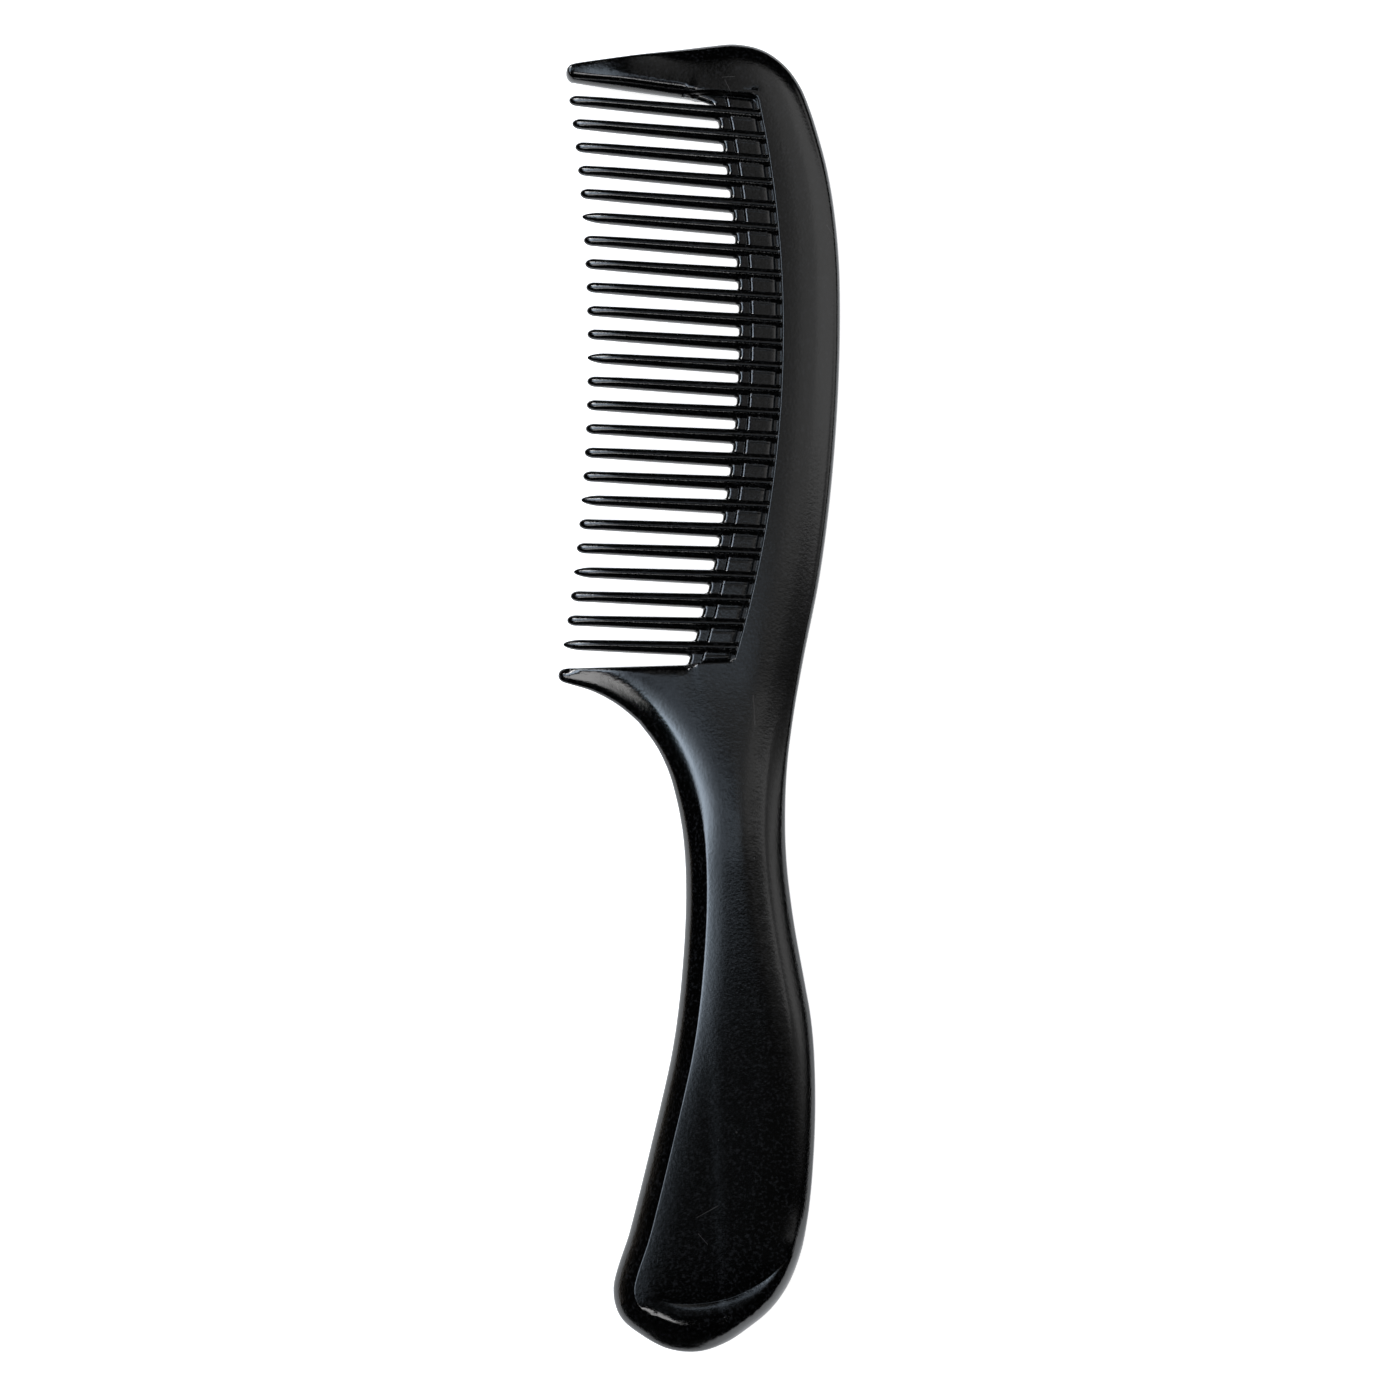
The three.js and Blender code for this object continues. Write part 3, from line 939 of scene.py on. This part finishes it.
def add_body(band_index):
    """Triangulates the handle, the back and the guard teeth, joined to the band's border."""
    edge = body_edge()
    border = np.vstack([band[0, ::-1], band[1:, -1], band[-1, ::-1][1:]])
    border_ids = np.concatenate([band_index[0, ::-1], band_index[1:, -1], band_index[-1, ::-1][1:]])
    neck = [move_to(edge, 1, NECK_Y, (x, NECK_Y)) for x in NECK_XS]
    upper_root = move_to(edge, 0, UPPER_GUARD_X, (UPPER_GUARD_X, UPPER_GUARD_Y))
    lower_root = [move_to(edge, 0, LOWER_GUARD_X, (LOWER_GUARD_X, y)) for y in LOWER_GUARD_YS]
    edge_start = face.add_points(edge[1:-1], [0] * (len(edge) - 2))
    edge_ids = np.concatenate([
        [band_index[0, 0]], edge_start + np.arange(len(edge) - 2), [band_index[-1, 0]],
    ])
    upper_foot = int(np.abs(band[0, :, 0] - UPPER_GUARD_X).argmin())
    seams = {
        "handle": (edge_ids[neck[0]], edge_ids[neck[1]]),
        "upper_guard_tooth": (edge_ids[upper_root], band_index[0, upper_foot]),
        "lower_guard_tooth": (edge_ids[lower_root[0]], edge_ids[lower_root[1]]),
    }
    edge_line, border_line = Line(edge), Line(border)
    seam_ends = {name: [np.array(face.points[end]) for end in ends] for name, ends in seams.items()}
    free = np.vstack([
        edge_rows(edge, edge_line, border_line), crease_rows(edge_line), inner_grid(edge_line, border_line),
    ])
    for start, end in seam_ends.values():
        clear = np.minimum(SEAM_CLEAR, 0.02 + 0.5 * edge_line.nearest(free)[0])
        free = free[distance_to_seam(free, start, end) > clear]
    free_start = face.add_points(free, body_height(free))
    loop = np.concatenate([edge_ids, border_ids[::-1][1:-1]])
    used = list(loop) + list(range(free_start, free_start + len(free)))
    constraints = []
    for name, (first, last) in seams.items():
        between = seam_points(*seam_ends[name])
        start = face.add_points(between, body_height(between))
        line = [first] + list(range(start, start + len(between))) + [last]
        used += line[1:-1]
        constraints += list(zip(line, line[1:]))
    place_of = {index: place for place, index in enumerate(used)}
    flat = [Vector(face.points[index]) for index in used]
    joined = [(place_of[a], place_of[b]) for a, b in constraints]
    result = delaunay_2d_cdt(flat, joined, [list(range(len(loop)))], 1, 1e-5)
    made = [used[origin[0]] for origin in result[3]]
    for triangle in result[2]:
        middle = np.mean([result[0][corner][:] for corner in triangle], axis=0)
        face.add_face([made[corner] for corner in triangle], body_label(middle, seam_ends))


def body_label(place, seam_ends):
    """The piece that a point of the body belongs to."""
    def beyond(name):
        start, end = seam_ends[name]
        return (end[0] - start[0]) * (place[1] - start[1]) - (end[1] - start[1]) * (place[0] - start[0])
    if beyond("handle") > 0:
        return "handle"
    if place[1] > UPPER_GUARD_LOW and beyond("upper_guard_tooth") < 0:
        return "upper_guard_tooth"
    if LOWER_GUARD_LOW < place[1] < LOWER_GUARD_HIGH and beyond("lower_guard_tooth") > 0:
        return "lower_guard_tooth"
    return "back"


band_index = add_band()
for number, tooth in enumerate(teeth, 1):
    first = rib_start[number - 1]
    add_tooth(tooth, number, band_index[first:first + len(RIB_LANES), 0])
add_body(band_index)

# ---------------- the pieces


def both_faces():
    """The corners and faces of the whole comb, above and below its parting plane."""
    flat, heights = np.array(face.points), np.array(face.heights)
    sharp = heights < 1e-6
    count = len(flat)
    upper = np.c_[flat, PARTING_Z + heights]
    lower = np.c_[flat, PARTING_Z - heights]
    mirror = np.where(sharp, np.arange(count), np.arange(count) + count)
    faces, labels = [], []
    for ring, label in zip(face.faces, face.labels):
        if all(sharp[corner] for corner in ring):
            continue
        x, y = flat[list(ring)].T
        area = (x * np.roll(y, -1) - y * np.roll(x, -1)).sum()
        ordered = ring if area > 0 else ring[::-1]
        faces.append(ordered)
        labels.append(label)
    return np.vstack([upper, lower]), mirror, faces, labels


def point_normals(points, faces):
    """The direction the surface faces at each point, weighted by each face's angle there."""
    triangles = np.array([(ring[0], b, c) for ring in faces for b, c in zip(ring[1:], ring[2:])])
    spots = points[triangles]
    facing = np.cross(spots[:, 1] - spots[:, 0], spots[:, 2] - spots[:, 0])
    facing /= np.maximum(np.linalg.norm(facing, axis=1), 1e-12)[:, None]
    normals = np.zeros_like(points)
    for corner in range(3):
        first = spots[:, (corner + 1) % 3] - spots[:, corner]
        second = spots[:, (corner + 2) % 3] - spots[:, corner]
        lengths = np.linalg.norm(first, axis=1) * np.linalg.norm(second, axis=1)
        angle = np.arccos(np.clip((first * second).sum(1) / np.maximum(lengths, 1e-12), -1, 1))
        np.add.at(normals, triangles[:, corner], facing * angle[:, None])
    return normals / np.maximum(np.linalg.norm(normals, axis=1), 1e-12)[:, None]


def piece_faces(own, mirror, sharp):
    """A piece's upper and lower faces, and the walls that close it where it meets its neighbours."""
    below = [tuple(int(mirror[corner]) for corner in reversed(ring)) for ring in own]
    sides = {side: True for ring in own for side in zip(ring, ring[1:] + ring[:1])}
    walls = []
    for a, b in sides:
        if (b, a) not in sides and not (sharp[a] and sharp[b]):
            walls.append(tuple(dict.fromkeys([b, a, int(mirror[a]), int(mirror[b])])))
    return list(own) + below + walls


def make_piece(name, points, normals, faces, material):
    """One piece of the comb as a Blender object that stands for its CAD node."""
    used = sorted({corner for ring in faces for corner in ring})
    place_of = {index: place for place, index in enumerate(used)}
    mesh = bpy.data.meshes.new(name + "_look")
    mesh.from_pydata(
        (points[used] * MM).tolist(), [], [[place_of[corner] for corner in f] for f in faces],
    )
    mesh.polygons.foreach_set("use_smooth", [True] * len(mesh.polygons))
    mesh.validate()
    mesh.normals_split_custom_set_from_vertices(normals[used].tolist())
    mesh.materials.append(material)
    piece = add_object(name + "_look", mesh)
    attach(piece, "root")
    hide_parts(name)


def make_comb(material):
    points, mirror, faces, labels = both_faces()
    below = [tuple(int(mirror[corner]) for corner in reversed(f)) for f in faces]
    normals = point_normals(points, faces + below)
    sharp = np.array(face.heights) < 1e-6
    for name in BODY_NODES + tuple(TOOTH_NODES):
        own = [f for f, label in zip(faces, labels) if label == name]
        make_piece(name, points, normals, piece_faces(own, mirror, sharp), material)


# ---------------- black plastic

# Where the photo shows fine scratches: on the head, beside the spine, on the neck and the handle.
SCRATCHES = [
    ((0.4, 101.1), (2.6, 101.4)), ((0.9, 100.7), (2.2, 98.3)), ((19.4, 76.5), (22.6, 72.4)),
    ((12, -4), (12.6, -9)), ((8.2, -87.5), (11.4, -85.5)), ((8.6, -89.9), (10.2, -91.5)),
]
SCRATCH_HALF_WIDTH = 0.09
# Features to a metre, and heights in mm
MOTTLE_SCALE, GRAIN_SCALE, WAVE_SCALE, SHEEN_SCALE = 2200, 2100, 60, 400
GRAIN_HEIGHT, WAVE_HEIGHT = 0.035, 0.03
# Dust: cells to a metre, the largest radius in mm, and the share of cells with a speck
DUST = 300, 0.2, 0.35
BLACK = (0.0002, 0.0002, 0.0002, 1)
MOTTLE = (0.008, 0.0082, 0.009, 1)
MARK_GREY = (0.022, 0.021, 0.02, 1)
ROUGHNESS = 0.08, 0.12


def black_plastic():
    """Semi-gloss moulded plastic, with a fine grain, a few scratches and specks of dust."""
    material = bpy.data.materials.new("black_plastic")
    material.use_nodes = True
    nodes, links = material.node_tree.nodes, material.node_tree.links
    nodes.clear()
    output = nodes.new("ShaderNodeOutputMaterial")
    shader = nodes.new("ShaderNodeBsdfPrincipled")
    links.new(shader.outputs["BSDF"], output.inputs["Surface"])
    place = nodes.new("ShaderNodeTexCoord").outputs["Object"]

    def new_node(kind, output, inputs):
        """The output of a new node whose inputs are set, or linked to another node's output."""
        node = nodes.new("ShaderNode" + kind)
        for name, value in inputs.items():
            if isinstance(value, bpy.types.NodeSocket):
                links.new(value, node.inputs[name])
            else:
                node.inputs[name].default_value = value
        return node.outputs[output]

    def noise(scale, detail, roughness=0.5):
        inputs = {"Vector": place, "Scale": scale, "Detail": detail, "Roughness": roughness}
        return new_node("TexNoise", "Fac", inputs)

    def ramp(value, low, high, start, end):
        inputs = {"Value": value, "From Min": low, "From Max": high, "To Min": start, "To Max": end}
        return new_node("MapRange", "Result", inputs)

    def bump(height, strength, distance, **more):
        inputs = {"Height": height, "Strength": strength, "Distance": distance * MM, **more}
        return new_node("Bump", "Normal", inputs)

    def math_node(operation, first, second=None, third=None):
        node = nodes.new("ShaderNodeMath")
        node.operation = operation
        for socket, value in zip(node.inputs, (first, second, third)):
            if isinstance(value, (int, float)):
                socket.default_value = value
            elif value is not None:
                links.new(value, socket)
        return node.outputs["Value"]

    def along(direction, start):
        """How far each point is from a starting place in a direction over the face, in mm."""
        node = nodes.new("ShaderNodeVectorMath")
        node.operation = "DOT_PRODUCT"
        node.inputs[1].default_value = (direction[0] / MM, direction[1] / MM, 0)
        links.new(place, node.inputs[0])
        return math_node("SUBTRACT", node.outputs["Value"], float(np.dot(direction, start)))

    def scratch(start, end):
        start, end = np.array(start, float), np.array(end, float)
        length = np.linalg.norm(end - start)
        run = (end - start) / length
        across = math_node("ABSOLUTE", along((-run[1], run[0]), start))
        narrowing = -1.2 * SCRATCH_HALF_WIDTH, 1.3 * SCRATCH_HALF_WIDTH
        wavering = math_node("MULTIPLY_ADD", noise(900, 2), *narrowing)
        beside_it = math_node("LESS_THAN", across, wavering)
        past_middle = math_node("ABSOLUTE", math_node("SUBTRACT", along(run, start), length / 2))
        return math_node("MULTIPLY", beside_it, math_node("LESS_THAN", past_middle, length / 2))

    def specks(scale, radius, share):
        """Small round spots, one in some of the cells of a scattered pattern."""
        node = nodes.new("ShaderNodeTexVoronoi")
        node.inputs["Scale"].default_value = scale
        links.new(place, node.inputs["Vector"])
        split = nodes.new("ShaderNodeSeparateColor")
        links.new(node.outputs["Color"], split.inputs["Color"])
        size = math_node("MULTIPLY", split.outputs["Green"], radius * MM * scale)
        spot = math_node("LESS_THAN", node.outputs["Distance"], size)
        return math_node("MULTIPLY", spot, math_node("LESS_THAN", split.outputs["Red"], share))

    colour = nodes.new("ShaderNodeMix")
    colour.data_type = "RGBA"
    colour.inputs["A"].default_value = BLACK
    colour.inputs["B"].default_value = MOTTLE
    links.new(ramp(noise(MOTTLE_SCALE, 2), 0.52, 0.74, 0, 1), colour.inputs["Factor"])
    marks = specks(*DUST)
    for start, end in SCRATCHES:
        marks = math_node("MAXIMUM", marks, scratch(start, end))
    marked = nodes.new("ShaderNodeMix")
    marked.data_type = "RGBA"
    links.new(marks, marked.inputs["Factor"])
    links.new(colour.outputs["Result"], marked.inputs["A"])
    marked.inputs["B"].default_value = MARK_GREY
    links.new(marked.outputs["Result"], shader.inputs["Base Color"])
    links.new(ramp(noise(SHEEN_SCALE, 4), 0.3, 0.7, *ROUGHNESS), shader.inputs["Roughness"])
    grain = bump(noise(GRAIN_SCALE, 4, 0.65), 0.6, GRAIN_HEIGHT)
    links.new(bump(noise(WAVE_SCALE, 2), 0.3, WAVE_HEIGHT, Normal=grain), shader.inputs["Normal"])
    return material


# ---------------- floor, light and world


FLOOR_HALF = 4
FLOOR_GLOW = 0.9
ROOM_GLOW = 0.008


def make_floor():
    mesh = bpy.data.meshes.new("floor")
    places = [(x * FLOOR_HALF, y * FLOOR_HALF, 0) for x, y in ((-1, -1), (1, -1), (1, 1), (-1, 1))]
    mesh.from_pydata(places, [], [(0, 1, 2, 3)])
    floor = add_object("floor", mesh)
    material = bpy.data.materials.new("white_floor")
    material.use_nodes = True
    shader = material.node_tree.nodes["Principled BSDF"]
    shader.inputs["Base Color"].default_value = (0.9, 0.9, 0.9, 1)
    shader.inputs["Roughness"].default_value = 0.9
    shader.inputs["Specular IOR Level"].default_value = 0
    shader.inputs["Emission Color"].default_value = (1, 1, 1, 1)
    shader.inputs["Emission Strength"].default_value = FLOOR_GLOW
    mesh.materials.append(material)


LIGHT_HEIGHT = 1.2
SKY_BLUE = (0.8, 0.95, 1.12)
WARM = (1, 0.86, 0.72)
WHITE = (1, 1, 1)


def add_light(name, place, turn, width, height, radiance, colour):
    data = bpy.data.lights.new(name, "AREA")
    data.shape = "RECTANGLE"
    data.size, data.size_y = width, height
    data.energy = radiance * math.pi * width * height
    data.color = colour
    light = add_object(name, data)
    light.location, light.rotation_euler = place, turn


def overhead_light(name, across, along, radiance, colour):
    """A soft level light over the comb, between two slants from the vertical, in degrees,
    towards +X (across) and towards +Y (along)."""
    left, right = LIGHT_HEIGHT * np.tan(np.radians(across))
    low, high = LIGHT_HEIGHT * np.tan(np.radians(along))
    place = ((left + right) / 2, (low + high) / 2, LIGHT_HEIGHT)
    add_light(name, place, (0, 0, 0), right - left, high - low, radiance, colour)


# Each light's extent across and along, its brightness and colour. They don't overlap.
OVERHEAD_LIGHTS = {
    "window_edge": ((-42, -38), (-10, 26), 2, SKY_BLUE),
    "window_side": ((-38, -34), (-10, 26), 5, SKY_BLUE),
    "window": ((-34, -25), (-10, 26), 10, SKY_BLUE),
    "window_halo": ((-25, -20), (-10, 26), 6, SKY_BLUE),
    "window_wall": ((-20, -15), (-10, 22), 3.4, SKY_BLUE),
    "left_wall": ((-15, -9), (-8, 18), 1.5, SKY_BLUE),
    "left_ceiling": ((-9, -3), (-4, 8), 0.25, SKY_BLUE),
    "low_window": ((-30, -6), (-36, -21), 6.5, WHITE),
    "tip_lamp": ((-44, -24), (30, 40), 28, WHITE),
    "ceiling_low": ((-3, 4), (-5, 8), 0.04, WHITE),
    "ceiling_patch": ((-9, 4), (8, 12), 1.7, SKY_BLUE),
    "ceiling": ((-3, 8), (12, 45), 0.4, WHITE),
    "right_low": ((4, 78), (-5, 7), 0.04, WHITE),
    "right_middle": ((4, 20), (7, 12), 0.2, WHITE),
    "right_middle_wall": ((20, 78), (7, 15.5), 0.22, WHITE),
    "right_ceiling": ((8, 20), (12, 45), 0.85, WHITE),
    "right_wall": ((20, 50), (15.5, 45), 1.35, WHITE),
    "right_corner": ((50, 78), (15.5, 30), 0.45, WHITE),
    "right_top": ((50, 78), (30, 60), 1.2, WHITE),
}


def make_light():
    for name, (across, along, radiance, colour) in OVERHEAD_LIGHTS.items():
        overhead_light(name, across, along, radiance, colour)
    add_light("warm_wall", (-1.5, 0.15, 0.09), (0, math.radians(-90), 0), 0.1, 1.6, 0.8, WARM)
    world = bpy.data.worlds.new("room")
    world.use_nodes = True
    bpy.context.scene.world = world
    background = world.node_tree.nodes["Background"]
    background.inputs["Color"].default_value = (1, 1, 1, 1)
    background.inputs["Strength"].default_value = ROOM_GLOW


make_comb(black_plastic())
make_floor()
make_light()
bpy.context.scene.view_settings.view_transform = "Standard"
